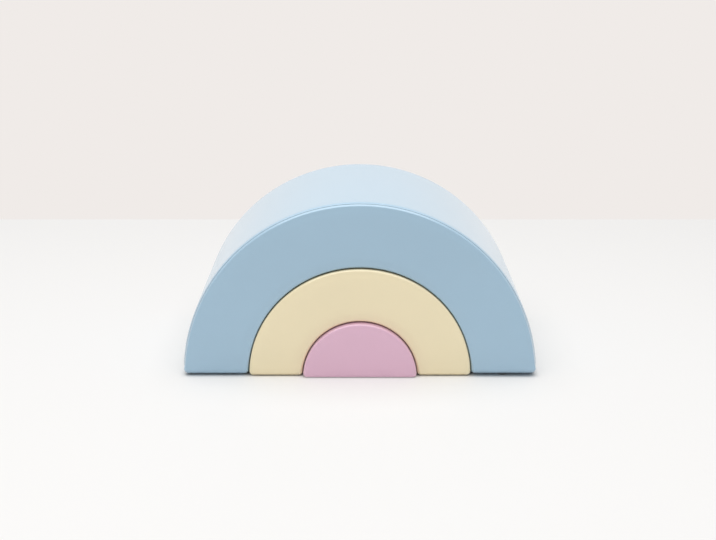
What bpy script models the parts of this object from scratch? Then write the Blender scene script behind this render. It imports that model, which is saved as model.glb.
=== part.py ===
"""Nesting rainbow soft play block: two foam arches and a foam half-round, each in a sewn leather-cloth cover.

The large arch stands over the middle arch, and the middle arch over the small half-round. Each cover is cut
from flat panels: a front and a rear panel whose edges roll over the foam, bands along the curves and foot
panels underneath. One foot of each arch, and the base of the half-round, is split by a coil zip.
Metres, +Z up. The origin is the middle of the set's footprint on the floor, and the front faces -Y.
"""

import math

import bmesh
import bpy
from mathutils import Matrix

# Blocks
LARGE_RADIUS = 0.300  # outside of the large arch
LARGE_WALL = 0.110  # from its outside to its inside, along a radius
MIDDLE_WALL = 0.090
NEST_GAP = 0.002  # air between a block and the one it stands over
DEPTH = 0.350  # front to rear, the same for all three
MIDDLE_FORWARD = 0.005  # how far the middle arch stands in front of the large one
SMALL_FORWARD = 0.015  # how far the half-round stands in front of the large arch
LARGE_CORNER = 0.0085  # rounding of the large arch's outer foot corners
CORNER = 0.0065  # rounding of all other foot corners

# Cover
LEATHER = 0.0012  # thickness of the leather-cloth
EDGE_ROLL = 0.0055  # radius of the front and rear edges
EDGE_LIP = 0.0005  # straight strip between an edge's roll and its seam
FIT = 0.0003  # clearance between pieces that lie against each other

# Zip, a coil zip with a flat slider and no pull tab
HEM_WIDTH = 0.012
TAPE_WIDTH = 0.013
TAPE_THICKNESS = 0.0006
COIL_WIDTH = 0.0028  # of one of the two coils
COIL_HEIGHT = 0.0014
ZIP_END = 0.012  # from a block's front or rear face to the slider at that end of its run
SLIDER_LENGTH = 0.011
SLIDER_PLATE = 0.0008
SLIDER_LIP = 0.0006  # width of the lips that turn in along its sides
SLIDER_POST = 0.0016  # width of the wedge that joins its two plates and parts the coils
SLIDER_POST_LENGTH = 0.0040
SLIDER_PLAY = 0.0005  # between the slider and the hem on each side
CROWN_LENGTH = 0.0055  # low rib on the slider's outer plate
CROWN_WIDTH = 0.0016
CROWN_HEIGHT = 0.0006

# Facets
LARGE_ARC_STEPS = 38
MIDDLE_ARC_STEPS = 30
SMALL_ARC_STEPS = 22
CORNER_STEPS = 2  # each half of a foot corner, on either side of its seam
ROLL_STEPS = 3
FOAM_ROLL_STEPS = 1

# Sizes that follow
MIDDLE_RADIUS = LARGE_RADIUS - LARGE_WALL - NEST_GAP
SMALL_RADIUS = MIDDLE_RADIUS - MIDDLE_WALL - NEST_GAP
PANEL_DEPTH = EDGE_ROLL + EDGE_LIP  # how far a front or rear panel reaches over the edge
BAND_REACH = DEPTH / 2 - PANEL_DEPTH - FIT  # from a block's middle to the end of a band, foot panel or zip
HEM_HEIGHT = 2 * LEATHER
TAPE_BOTTOM = HEM_HEIGHT + FIT
TAPE_MIDDLE = TAPE_BOTTOM + TAPE_THICKNESS / 2
COIL_HALF = FIT / 2 + COIL_WIDTH  # from the zip's middle to the outside of a closed coil
PARTING = SLIDER_POST / 2 + FIT / 2  # how far a coil moves aside where it passes the slider's wedge
SLIDER_NOSE = 2 * (COIL_HALF + PARTING + FIT + SLIDER_LIP)  # width where the coils part
SLIDER_TAIL = 2 * (COIL_HALF + FIT + SLIDER_LIP)  # width where the closed coils come out
SLIDER_CAVITY = COIL_HEIGHT / 2 + FIT  # from the coils' middle to the inside of a plate
SLIDER_HALF = SLIDER_CAVITY + SLIDER_PLATE
SLIDER_START = DEPTH / 2 - ZIP_END - SLIDER_LENGTH / 2  # from a block's middle to the slider's, zip closed
WEDGE_FRONT = -SLIDER_LENGTH / 2 + SLIDER_PLATE  # along the slider, from its middle
WEDGE_BACK = WEDGE_FRONT + SLIDER_POST_LENGTH
ZIP_OPENING = SLIDER_NOSE + 2 * SLIDER_PLAY  # between the two folded hems
TAPE_EDGE = COIL_HALF + FIT + TAPE_WIDTH  # from the zip's middle to a tape's outer edge
CHANNEL_HALF = max(ZIP_OPENING / 2 + HEM_WIDTH, TAPE_EDGE) + FIT  # of the foam's recess for the zip
CHANNEL_TOP = TAPE_MIDDLE + SLIDER_HALF + FIT

BLUE = (0.44, 0.61, 0.74)
YELLOW = (0.84, 0.74, 0.50)
PINK = (0.72, 0.46, 0.58)
FOAM_WHITE = (0.82, 0.80, 0.74)
TAPE_WHITE = (0.72, 0.71, 0.68)
SLIDER_GREY = (0.62, 0.62, 0.60)


# Scene and materials


def clear_scene():
    for obj in list(bpy.data.objects):
        bpy.data.objects.remove(obj)


def new_collection(name):
    collection = bpy.data.collections.new(name)
    bpy.context.scene.collection.children.link(collection)
    return collection


def new_material(name, colour, roughness, metallic=0.0):
    material = bpy.data.materials.new(name)
    material.use_nodes = True
    shader = material.node_tree.nodes["Principled BSDF"]
    shader.inputs["Base Color"].default_value = (*colour, 1.0)
    shader.inputs["Roughness"].default_value = roughness
    shader.inputs["Metallic"].default_value = metallic
    return material


def new_object(name, data, collection, parent=None, material=None):
    obj = bpy.data.objects.new(name, data)
    collection.objects.link(obj)
    obj.parent = parent
    if material:
        data.materials.clear()
        data.materials.append(material)
    return obj


def new_empty(name, collection, location):
    empty = bpy.data.objects.new(name, None)
    empty.location = location
    collection.objects.link(empty)
    return empty


# Outlines, as (x, z) points of a block seen from the front


def arc(centre, radius, start, end, steps):
    """Points on a circle from one angle to another, both ends included."""
    angles = [start + (end - start) * i / steps for i in range(steps + 1)]
    return [(centre[0] + radius * math.cos(a), centre[1] + radius * math.sin(a)) for a in angles]


def mirrored(points):
    """The same run of points on the left-hand side, still running the same way round."""
    return [(-x, z) for x, z in reversed(points)]


class Corner:
    """The right-hand rounded corner where a foot meets the outside of a curve, or its inside."""

    def __init__(self, curve_radius, rounding, outside):
        self.rounding = rounding
        reach = curve_radius - rounding if outside else curve_radius + rounding
        self.x = math.sqrt(reach**2 - rounding**2)
        self.lean = math.atan2(rounding, self.x)  # where the corner ends on the curve, about the origin
        self.down = -math.pi / 2 if outside else 1.5 * math.pi
        self.side = self.lean if outside else math.pi + self.lean
        self.seam = (self.down + self.side) / 2

    def from_seam(self, end, inset, trim):
        """Points from just beyond the corner's seam to one of its ends. The trim leaves the seam's gap."""
        start = self.seam + math.copysign(trim / self.rounding, end - self.seam)
        return arc((self.x, self.rounding), self.rounding - inset, start, end, CORNER_STEPS)


class Block:
    """One of the nested blocks: its sizes, and its outline as runs of points between the seams.

    Each run takes an inset from the cover's outside and a trim that keeps its ends back from the seams.
    """

    def __init__(self, name, radius, wall, corner, forward, steps, colour):
        self.name = name
        self.radius = radius
        self.hollow = radius - wall if wall else 0.0
        self.steps = steps
        self.colour = colour
        self.y = SMALL_FORWARD / 2 - forward
        self.outside = Corner(radius, corner, True)
        self.inside = Corner(self.hollow, CORNER, False) if wall else None
        self.zip_x = (self.outside.x + self.inside.x) / 2 if wall else 0.0

    def outer_run(self, inset, trim):
        """From the right-hand foot corner's seam over the top to the left-hand one's."""
        corner = self.outside
        rise = corner.from_seam(corner.side, inset, trim)
        over = arc((0, 0), self.radius - inset, corner.lean, math.pi - corner.lean, self.steps)
        return rise[:-1] + over + mirrored(rise)[1:]

    def inner_run(self, inset, trim):
        """From the left-hand inner corner's seam under the arch to the right-hand one's."""
        corner = self.inside
        fall = corner.from_seam(corner.side, inset, trim)[::-1]
        under = arc((0, 0), self.hollow + inset, math.pi - corner.lean, corner.lean, self.steps)
        return mirrored(fall)[:-1] + under + fall[1:]

    def outer_edge(self, inset, trim):
        """From the right-hand outer corner's seam down to where the foot's flat begins."""
        return self.outside.from_seam(self.outside.down, inset, trim)

    def inner_edge(self, inset, trim):
        """The same at the right-hand inner corner."""
        return self.inside.from_seam(self.inside.down, inset, trim)

    def left_edge(self, inset, trim):
        """The outer edge on the left-hand side."""
        return mirrored(self.outer_edge(inset, trim))[::-1]

    def right_foot_run(self, inset, trim):
        """From the right-hand inner corner's seam along the floor to the outer corner's."""
        return self.inner_edge(inset, trim) + self.outer_edge(inset, trim)[::-1]

    def left_foot_run(self, inset, trim):
        return mirrored(self.right_foot_run(inset, trim))

    def base_run(self, inset, trim):
        """The half-round's base, from its left-hand corner's seam to its right-hand one's."""
        return self.left_edge(inset, trim) + self.outer_edge(inset, trim)[::-1]

    def outline(self, inset):
        runs = [self.outer_run, self.left_foot_run, self.inner_run, self.right_foot_run]
        if self.inside is None:
            runs = [self.outer_run, self.base_run]
        return [point for run in runs for point in run(inset, 0.0)[:-1]]

    def foam_outline(self, inset):
        """The outline with a recess in the foot, or in the base, that gives the zip room."""
        points = self.outline(inset)
        left, right = self.zip_x - CHANNEL_HALF, self.zip_x + CHANNEL_HALF
        recess = [(left, inset), (left, CHANNEL_TOP), (right, CHANNEL_TOP), (right, inset)]
        after = len(points) - CORNER_STEPS  # the end of the foot's flat on the zip's far side
        return points[:after] + recess + points[after:]


# Shapes


def flat_shape(name, points, thickness, collection, parent, material):
    """A flat outline in X and Y, given its thickness evenly to both sides."""
    curve = bpy.data.curves.new(name, "CURVE")
    curve.dimensions = "2D"
    curve.fill_mode = "BOTH"
    curve.extrude = thickness / 2
    spline = curve.splines.new("POLY")
    spline.points.add(len(points) - 1)
    for point, (x, y) in zip(spline.points, points):
        point.co = (x, y, 0.0, 1.0)
    spline.use_cyclic_u = True
    return new_object(name, curve, collection, parent, material)


def along_depth(name, points, collection, parent, material):
    """An outline in X and Z drawn out along Y, from the front panel's seam to the rear panel's."""
    obj = flat_shape(name, points, 2 * BAND_REACH, collection, parent, material)
    obj.rotation_euler = (math.pi / 2, 0, 0)
    return obj


def filled_outline(points, y):
    """A mesh with one face on the outline, at a depth y, pointing to -Y."""
    mesh = bmesh.new()
    face = mesh.faces.new([mesh.verts.new((x, y, z)) for x, z in points])
    face.normal_update()
    if face.normal.y > 0:
        face.normal_flip()
    return mesh, face


def verts_of(made):
    return [item for item in made["geom"] if isinstance(item, bmesh.types.BMVert)]


def roll_edges_at(mesh, depths):
    """Marks the edges that run round an outline at these depths, for the bevel to roll over."""
    weight = mesh.edges.layers.float.new("bevel_weight_edge")
    for edge in mesh.edges:
        ends = [vertex.co.y for vertex in edge.verts]
        if any(max(abs(end - depth) for end in ends) < FIT for depth in depths):
            edge[weight] = 1.0


def to_mesh(name, mesh):
    data = bpy.data.meshes.new(name)
    mesh.to_mesh(data)
    mesh.free()
    data.shade_smooth()
    data.set_sharp_from_angle(angle=math.radians(40))
    return data


def add_roll(obj, radius, steps):
    bevel = obj.modifiers.new("rolled_edge", "BEVEL")
    bevel.limit_method = "WEIGHT"
    bevel.width = radius
    bevel.segments = steps
    bevel.use_clamp_overlap = False


def end_panel(name, block, collection, parent, material, rear):
    """A front or rear panel: flat, with its edge rolled over and a short lip down to the seam."""
    mesh, face = filled_outline(block.outline(0.0), -DEPTH / 2)
    made = bmesh.ops.extrude_edge_only(mesh, edges=list(face.edges))
    bmesh.ops.translate(mesh, verts=verts_of(made), vec=(0, PANEL_DEPTH, 0))
    bmesh.ops.recalc_face_normals(mesh, faces=mesh.faces)
    if face.normal.y > 0:
        bmesh.ops.reverse_faces(mesh, faces=mesh.faces)
    roll_edges_at(mesh, [-DEPTH / 2])
    obj = new_object(name, to_mesh(name, mesh), collection, parent, material)
    if rear:
        obj.data.transform(Matrix.Scale(-1, 4, (0, 1, 0)))
        obj.data.flip_normals()
    add_roll(obj, EDGE_ROLL, ROLL_STEPS)
    shell = obj.modifiers.new("leather", "SOLIDIFY")
    shell.thickness = LEATHER
    shell.offset = -1.0
    shell.use_even_offset = True


def foam_core(name, block, collection, parent, material):
    """The cut foam inside a cover, eased where the front and rear panels roll over it."""
    inset = LEATHER + FIT
    front, rear = inset - DEPTH / 2, DEPTH / 2 - inset
    mesh, face = filled_outline(block.foam_outline(inset), front)
    made = bmesh.ops.extrude_face_region(mesh, geom=[face], use_keep_orig=True)
    bmesh.ops.translate(mesh, verts=verts_of(made), vec=(0, rear - front, 0))
    bmesh.ops.recalc_face_normals(mesh, faces=mesh.faces)
    roll_edges_at(mesh, [front, rear])
    obj = new_object(name, to_mesh(name, mesh), collection, parent, material)
    add_roll(obj, EDGE_ROLL - inset, FOAM_ROLL_STEPS)


def strip(name, run, collection, parent, material):
    """A leather band along a run of the outline."""
    points = run(0.0, FIT / 2) + run(LEATHER, FIT / 2)[::-1]
    along_depth(name, points, collection, parent, material)


def hemmed_strip(name, edge, hem_x, collection, parent, material):
    """A foot panel from a corner's seam to the zip, where it is folded back as a hem."""
    outside, inside = edge(0.0, FIT / 2), edge(LEATHER, FIT / 2)
    fold_x = hem_x + math.copysign(HEM_WIDTH, outside[-1][0] - hem_x)
    hem = [(hem_x, 0.0), (hem_x, HEM_HEIGHT), (fold_x, HEM_HEIGHT), (fold_x, LEATHER)]
    along_depth(name, outside + hem + inside[::-1], collection, parent, material)


# Zip


def plan_plate(name, points, bottom, top, collection):
    """A plate from its outline seen from above, between two heights."""
    mesh = bmesh.new()
    face = mesh.faces.new([mesh.verts.new((x, y, bottom)) for x, y in points])
    made = bmesh.ops.extrude_face_region(mesh, geom=[face], use_keep_orig=True)
    bmesh.ops.translate(mesh, verts=verts_of(made), vec=(0, 0, top - bottom))
    bmesh.ops.recalc_face_normals(mesh, faces=mesh.faces)
    return new_object(name, to_mesh(name, mesh), collection)


def slider_mesh(helpers):
    """The slider about its own middle: two plates with turned-in lips, the wedge between and a low crown."""
    nose, tail, end = SLIDER_NOSE / 2, SLIDER_TAIL / 2, SLIDER_LENGTH / 2
    side = [(nose, -end), (nose, WEDGE_BACK), (tail, end)]
    shape = side + [(-x, y) for x, y in reversed(side)]
    slot = TAPE_THICKNESS / 2 + FIT  # half the gap between two lips, which the tape runs in
    bite = SLIDER_PLATE / 2  # how far joined shapes go into each other
    body = plan_plate("slider_outer_plate", shape, -SLIDER_HALF, -SLIDER_CAVITY, helpers)
    joined = [plan_plate("slider_inner_plate", shape, SLIDER_CAVITY, SLIDER_HALF, helpers)]
    for sign in (-1, 1):
        lip = [(sign * x, y) for x, y in side] + [(sign * (x - SLIDER_LIP), y) for x, y in reversed(side)]
        joined.append(plan_plate("slider_outer_lip", lip, -SLIDER_CAVITY - bite, -slot, helpers))
        joined.append(plan_plate("slider_inner_lip", lip, slot, SLIDER_CAVITY + bite, helpers))
    wedge = [(-SLIDER_POST / 2, WEDGE_FRONT), (SLIDER_POST / 2, WEDGE_FRONT), (0.0, WEDGE_BACK)]
    joined.append(plan_plate("slider_wedge", wedge, -SLIDER_CAVITY - bite, SLIDER_CAVITY + bite, helpers))
    x, y = CROWN_WIDTH / 2, CROWN_LENGTH / 2
    crown = [(-x, -y), (x, -y), (x, y), (-x, y)]
    bottom = -SLIDER_HALF - CROWN_HEIGHT
    joined.append(plan_plate("slider_crown", crown, bottom, bite - SLIDER_HALF, helpers))
    for other in joined:
        union = body.modifiers.new(other.name, "BOOLEAN")
        union.operation = "UNION"
        union.object = other
    for helper in [body, *joined]:
        helper.hide_render = True
        helper.display_type = "WIRE"
    bpy.context.view_layer.update()
    graph = bpy.context.evaluated_depsgraph_get()
    data = bpy.data.meshes.new_from_object(body.evaluated_get(graph))
    data.shade_flat()
    return data


def zip_half(block, sign, near, far):
    """The outline, seen from above, of a coil or a tape that the slider's wedge moves aside in front of it."""
    inside = [
        (near + PARTING, -BAND_REACH),
        (near + PARTING, WEDGE_FRONT - SLIDER_START),
        (near, WEDGE_BACK - SLIDER_START),
        (near, BAND_REACH),
    ]
    outside = [(x + far - near, y) for x, y in reversed(inside)]
    return [(block.zip_x + sign * x, y) for x, y in inside + outside]


def add_zip(block, sides, collection, parent, tape, metal, slider_data):
    """A closed zip along the middle of a foot: two tapes on the hems, two coils and the slider at the front."""
    for side, sign in sides:
        points = zip_half(block, sign, COIL_HALF + FIT, TAPE_EDGE)
        name = f"{block.name}_zip_tape_{side}"
        obj = flat_shape(name, points, TAPE_THICKNESS, collection, parent, tape)
        obj.location.z = TAPE_MIDDLE
        points = zip_half(block, sign, FIT / 2, COIL_HALF)
        name = f"{block.name}_zip_coil_{side}"
        obj = flat_shape(name, points, COIL_HEIGHT, collection, parent, tape)
        obj.location.z = TAPE_MIDDLE
    slider = new_object(f"{block.name}_zip_slider", slider_data, collection, parent, metal)
    slider.location = (block.zip_x, -SLIDER_START, TAPE_MIDDLE)


# Blocks


def add_block(block, parts, foam, tape, metal, slider_data):
    """A block's foam, its cover panels and its zip, under an empty at the block's middle on the floor."""
    leather = new_material(f"{block.name}_leather", block.colour, 0.45)
    middle = new_empty(block.name, parts, (0, block.y, 0))
    cover = (parts, middle, leather)
    foam_core(f"{block.name}_foam", block, parts, middle, foam)
    end_panel(f"{block.name}_front_panel", block, *cover, rear=False)
    end_panel(f"{block.name}_rear_panel", block, *cover, rear=True)
    near, far = block.zip_x - ZIP_OPENING / 2, block.zip_x + ZIP_OPENING / 2
    if block.inside is None:
        strip(f"{block.name}_band", block.outer_run, *cover)
        hemmed_strip(f"{block.name}_base_left_half", block.left_edge, near, *cover)
        hemmed_strip(f"{block.name}_base_right_half", block.outer_edge, far, *cover)
        sides = (("left", -1), ("right", 1))
    else:
        strip(f"{block.name}_outer_band", block.outer_run, *cover)
        strip(f"{block.name}_inner_band", block.inner_run, *cover)
        strip(f"{block.name}_left_foot", block.left_foot_run, *cover)
        hemmed_strip(f"{block.name}_right_foot_inner_half", block.inner_edge, near, *cover)
        hemmed_strip(f"{block.name}_right_foot_outer_half", block.outer_edge, far, *cover)
        sides = (("inner", -1), ("outer", 1))
    add_zip(block, sides, parts, middle, tape, metal, slider_data)


def main():
    clear_scene()
    parts = new_collection("rainbow_soft_play_block")
    helpers = new_collection("slider_shapes")
    foam = new_material("foam", FOAM_WHITE, 0.9)
    tape = new_material("zip_tape", TAPE_WHITE, 0.8)
    metal = new_material("zip_slider", SLIDER_GREY, 0.4, 1.0)
    slider_data = slider_mesh(helpers)
    large = Block("large_arch", LARGE_RADIUS, LARGE_WALL, LARGE_CORNER, 0.0, LARGE_ARC_STEPS, BLUE)
    middle = Block(
        "middle_arch", MIDDLE_RADIUS, MIDDLE_WALL, CORNER, MIDDLE_FORWARD, MIDDLE_ARC_STEPS, YELLOW
    )
    small = Block("small_block", SMALL_RADIUS, 0.0, CORNER, SMALL_FORWARD, SMALL_ARC_STEPS, PINK)
    for block in (large, middle, small):
        add_block(block, parts, foam, tape, metal, slider_data)


main()
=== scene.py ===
"""Looks of a nesting rainbow soft play block: sewn leather-cloth covers on cut foam, with coil zips below.

The file is laid out as an add-on. Its operators dress the packed model, piece by piece, in the model's own
frame: metres, +Z up, the front of the blocks towards -Y.
"""

import math
from typing import NamedTuple

import bmesh
import bpy
import numpy as np
from bpy.props import FloatProperty, FloatVectorProperty, IntProperty, PointerProperty
from mathutils.kdtree import KDTree
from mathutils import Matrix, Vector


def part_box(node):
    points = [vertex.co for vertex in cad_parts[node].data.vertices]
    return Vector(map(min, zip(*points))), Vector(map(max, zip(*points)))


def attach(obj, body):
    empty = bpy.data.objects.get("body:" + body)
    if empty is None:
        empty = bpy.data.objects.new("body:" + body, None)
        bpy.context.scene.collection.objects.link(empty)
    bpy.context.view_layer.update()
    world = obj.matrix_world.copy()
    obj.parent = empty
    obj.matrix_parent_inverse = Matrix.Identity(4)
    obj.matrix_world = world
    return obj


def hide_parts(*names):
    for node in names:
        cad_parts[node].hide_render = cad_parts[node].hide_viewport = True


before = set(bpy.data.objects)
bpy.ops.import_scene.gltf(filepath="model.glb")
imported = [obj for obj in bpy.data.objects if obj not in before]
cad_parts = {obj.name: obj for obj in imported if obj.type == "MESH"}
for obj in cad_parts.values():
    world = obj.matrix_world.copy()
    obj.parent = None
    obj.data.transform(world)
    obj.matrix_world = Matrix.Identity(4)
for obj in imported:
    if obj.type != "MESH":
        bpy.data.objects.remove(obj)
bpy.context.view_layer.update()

bl_info = {
    "name": "Rainbow Soft Play Block",
    "version": (1, 0, 0),
    "blender": (4, 5, 0),
    "location": "View3D > Sidebar > Rainbow",
    "description": "Dresses the nested foam blocks in sewn leather-cloth covers with zips",
    "category": "Object",
}

LEATHER_SLOTS = {"large_arch": "blue_leather", "middle_arch": "yellow_leather", "small_block": "pink_leather"}
SHOULDER_TURNS = np.radians((0.0, 22.5, 45.0, 67.5, 90.0))  # steps of the leather's turn down into a seam
ROLL_SHARES = np.linspace(0.0, 1.0, 9)[1:]  # steps of a panel's rolled edge, from its seam to the flat face
SPACING_GROWTH = 1.4  # from one point to the next, away from a seam
STRIP_STRETCH = 1.5  # spacing of a strip's points from front to rear, against the spacing round it
CORNER_GROWTH = 0.6  # how fast the corners of a panel's inner outlines become rounder
FADE_REACH = 1.2  # how far in a panel follows its outline, against the fade of its crown
CORNER_STEPS, CAGE_CORNER_STEPS = 4, 1  # from a foot corner's seam to its end
CAGE_ROLL = 0.3  # place of the cage's point on a rolled edge, against the roll
NEIGHBOURS = 20  # points of the simulated cage that each point of a cover blends
FAR_FROM_SEAM = 0.05  # a distance where a seam has no more effect
CLOTH = {
    "quality": 5,
    "mass": 0.3,
    "air_damping": 2.0,
    "tension_stiffness": 20.0,
    "compression_stiffness": 20.0,
    "shear_stiffness": 8.0,
    "bending_stiffness": 2.0,
    "use_pressure": True,
}
FOAM_CREASE = math.radians(40)  # edges of the foam that turn more than this stay sharp
WEDGE_ENDS = (0.07, 0.44)  # along a slider, where its wedge parts the coils: in front of it they stand aside
TAPE_ROWS = 140  # points along a tape
TAPE_SHARES = np.array((0.0, 0.03, 0.08, 0.14, 0.3, 0.5, 0.7, 0.86, 0.92, 0.97, 1.0))  # points across a tape
TAPE_CORDS = np.array((0, 1, 1, 0, 0, 0, 0, 0, 1, 1, 0))  # which of them are on its edge cords
CORD_RISE = 0.25  # how far a cord stands proud, against the tape's thickness
CAST_MERGE, CAST_FLAT = 1e-6, math.radians(1)  # what counts as one point and as one face of a slider
COIL_SIDES, THREAD_SIDES = 5, 6  # of a wire's and a thread's cross-section
FLOOR_GRID = (9, 7)  # points of the floor, across and back


# Settings


def metres(name, description, default):
    return FloatProperty(name=name, description=description, default=default, unit="LENGTH", precision=5)


def amount(name, description, default, subtype="NONE"):
    return FloatProperty(name=name, description=description, default=default, subtype=subtype)


def tint(name, description, default):
    return FloatVectorProperty(
        name=name, description=description, default=default, subtype="COLOR", size=3, min=0.0, max=1.0
    )


class RainbowCoverSettings(bpy.types.PropertyGroup):
    """Sizes of the foam and the sewn covers"""

    leather: metres("Leather-cloth", "Thickness of the leather-cloth", 0.0012)
    fit: metres("Fit", "Clearance between pieces that lie against each other", 0.0003)
    roll: metres("Roll", "Radius of the nested blocks' front and rear edges at the floor", 0.0055)
    large_roll: metres("Large Roll", "Radius of the large arch's front and rear edges at the floor", 0.0058)
    tight_roll: metres("Tight Roll", "Radius of the front and rear edges where two blocks meet", 0.0036)
    lip_radius: metres("Lip Radius", "Where the large arch's face turns into its outer lip", 0.0022)
    lip_turn: amount("Lip Turn", "How far the lip leans back from the face", math.radians(62), "ANGLE")
    lip_drop: metres("Lip Drop", "How far the outer seam lies inside the arch's outside", 0.0020)
    lip_start: metres("Lip Start", "Height above the floor where the lip begins", 0.0040)
    lip_blend: metres("Lip Blend", "Height over which it takes its shape", 0.0180)
    shoulder: metres("Seam Shoulder", "Radius where the leather turns down into a seam", 0.0008)
    seam_gap: metres("Seam Gap", "From a seam's middle to the edge of each panel", 0.0001)
    large_corner: metres("Large Corner", "Rounding of the large arch's outer foot corners", 0.0085)
    corner: metres("Corner", "Rounding of the other foot corners", 0.0065)
    snug: metres("Snug", "How far the covers puff into the gap between two blocks", 0.0004)
    sag: metres("Sag", "How far the tops of the two nested blocks sink", 0.0009)
    spacing: metres("Spacing", "Distance between a cover's mesh points", 0.0045)
    cage_spacing: metres("Cage Spacing", "Distance between the simulated points", 0.0095)
    crown: metres("Crown", "Most that the padding lifts a front or rear face", 0.0010)
    band_crown: metres("Band Crown", "Most that the padding lifts a band", 0.0005)
    crown_fade: metres("Crown Fade", "Distance from a seam over which the padding begins", 0.0140)
    pressure: amount("Padding", "Pressure of the foam in the simulation", 4.0)
    frames: IntProperty(name="Frames", description="Frames that the padding is simulated for", default=16)
    large_lift: metres("Large Lift", "How far the large arch's front lower edge rises", 0.0053)
    right_lift: metres("Right Lift", "How much more it rises at its right-hand end", 0.0024)
    middle_lift: metres("Middle Lift", "How far the middle arch's front lower edge rises", 0.0019)
    small_lift: metres("Small Lift", "How far the small block's front lower edge rises", 0.0006)
    lift_depth: metres("Lift Depth", "How far back from the front that edge rises", 0.0120)
    lift_height: metres("Lift Height", "How far up the front that edge rises", 0.0400)
    large_spread: metres("Large Spread", "How far the large arch's soft feet spread forward", 0.0045)
    right_spread: metres("Right Spread", "How much more the right-hand foot spreads", 0.0050)
    side_spread: metres("Side Spread", "How far the large arch's soft feet spread outwards", 0.0011)
    side_reach: metres("Side Reach", "How far in from its sides the large arch spreads outwards", 0.0300)
    spread_height: metres("Spread Height", "How far up the feet spread", 0.2000)


class RainbowZipSettings(bpy.types.PropertyGroup):
    """Sizes of the hems and zips"""

    hem: metres("Hem", "Width of the leather folded back beside the zip", 0.0120)
    tape: metres("Tape", "Thickness of the woven tape", 0.0006)
    parting: metres("Parting", "How far each coil stands aside in front of the slider", 0.00095)
    turn_pitch: metres("Coil Pitch", "Distance between the turns of a coil", 0.0013)
    wire: metres("Coil Wire", "Radius of the filament that a coil is wound from", 0.00028)
    coil_slit: metres("Coil Slit", "From the zip's middle to the turns of a closed coil", 0.00018)
    coil_hold: metres("Coil Hold", "How far the turns reach over the edge of their tape", 0.0001)
    wedge: metres("Wedge", "Half the thickness of the wedge that joins a slider's plates", 0.00014)
    stitch: metres("Stitch", "Length of a topstitch", 0.0027)
    stitch_pitch: metres("Stitch Pitch", "Distance from one topstitch to the next", 0.0036)
    stitch_inset: metres("Stitch Inset", "From a hem's fold to its row of stitches", 0.0032)
    thread: metres("Thread", "Radius of the sewing thread", 0.00024)
    cast_edge: metres("Cast Edge", "Rounding of the slider's edges", 0.00018)


class RainbowFinishSettings(bpy.types.PropertyGroup):
    """Colours and surface of the materials"""

    blue: tint("Blue", "Leather-cloth of the large arch", (0.365, 0.545, 0.690))
    yellow: tint("Yellow", "Leather-cloth of the middle arch", (0.920, 0.805, 0.535))
    pink: tint("Pink", "Leather-cloth of the small block", (0.765, 0.475, 0.620))
    foam: tint("Foam", "Cut foam", (0.82, 0.80, 0.74))
    tape: tint("Zip Tape", "Woven zip tape", (0.72, 0.71, 0.68))
    coil: tint("Zip Coil", "Filament of the zip coils", (0.76, 0.75, 0.72))
    slider: tint("Zip Slider", "Cast zip slider", (0.62, 0.62, 0.60))
    gloss: amount("Leather Roughness", "Roughness of the leather-cloth", 0.42)
    sheen: amount("Leather Sheen", "Pale sheen at a low angle", 0.1)
    lacquer: amount("Lacquer", "Clear satin coat on the leather-cloth", 1.0)
    grain: amount("Grain", "Pebbles of leather grain in a metre", 850.0)


class RainbowStageSettings(bpy.types.PropertyGroup):
    """Floor, light and camera"""

    floor: tint("Floor", "Colour of the floor", (0.81, 0.802, 0.792))
    glow: tint("Glow", "Colour of the floor where it is seen without shadow", (0.94, 0.932, 0.922))
    wall: tint("Wall", "Colour behind the floor", (0.871, 0.831, 0.807))
    mirrored_wall: tint("Mirrored Wall", "Colour of the wall in reflections", (0.98, 0.945, 0.92))
    floor_back: metres("Floor Edge", "Where the floor ends behind the blocks", 0.985)
    floor_reach: metres("Floor Reach", "How far the floor goes to the front and the sides", 4.0)
    floor_drop: metres("Floor Drop", "Gap that keeps the floor clear of the feet", 0.0003)
    floor_glow: amount("Floor Glow", "Share of the floor that is seen without shadow", 0.35)
    glow_fade: metres("Glow Fade", "Distance from the blocks over which the glow begins", 0.008)
    sky: amount("Sky", "Even light from all round", 0.40)
    lamp: amount("Lamp", "Power of the soft lamp overhead", 161.0)
    lamp_size: metres("Lamp Size", "Side of the soft lamp", 5.0)
    lamp_height: metres("Lamp Height", "Height of the soft lamp", 3.5)
    lamp_left: metres("Lamp Left", "How far the lamp hangs to the left", 0.25)
    lamp_forward: metres("Lamp Forward", "How far the lamp hangs in front", 0.90)
    lens: amount("Lens", "Focal length in mm on a 36 mm sensor", 65.14)
    eye: FloatVectorProperty(
        name="Eye",
        description="Place of the camera",
        default=(-0.0032, -2.2465, 0.766),
        subtype="TRANSLATION",
    )
    pitch: amount("Pitch", "How far down the camera looks", math.radians(15.58), "ANGLE")


# Outlines: a run is an array with a row for each point, x and z and the two parts of its outward normal


class Steps(NamedTuple):
    """How many steps the parts of an outline are drawn in"""

    corner: int
    curve: int
    flat: int


FINE = Steps(corner=24, curve=900, flat=40)


class Corner(NamedTuple):
    """A right-hand foot corner: its middle, rounding and angles"""

    middle: tuple
    rounding: float
    lean: float
    down: float
    seam: float
    side: float


def turned(middle, radius, start, end, steps, facing=1.0):
    """A run along part of a circle, facing out of it, or into it with -1."""
    angles = np.linspace(start, end, steps + 1)
    normals = np.column_stack((np.cos(angles), np.sin(angles)))
    return np.hstack((np.array(middle) + radius * normals, facing * normals))


def straight(start, end, steps, normal):
    """A straight run with one normal."""
    shares = np.linspace(0.0, 1.0, steps + 1)[:, None]
    points = (1.0 - shares) * np.array(start) + shares * np.array(end)
    return np.hstack((points, np.tile(normal, (steps + 1, 1))))


def joined(*runs):
    """Runs one after another, with each meeting point kept once."""
    return np.vstack([run[:-1] for run in runs[:-1]] + [runs[-1]])


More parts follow.
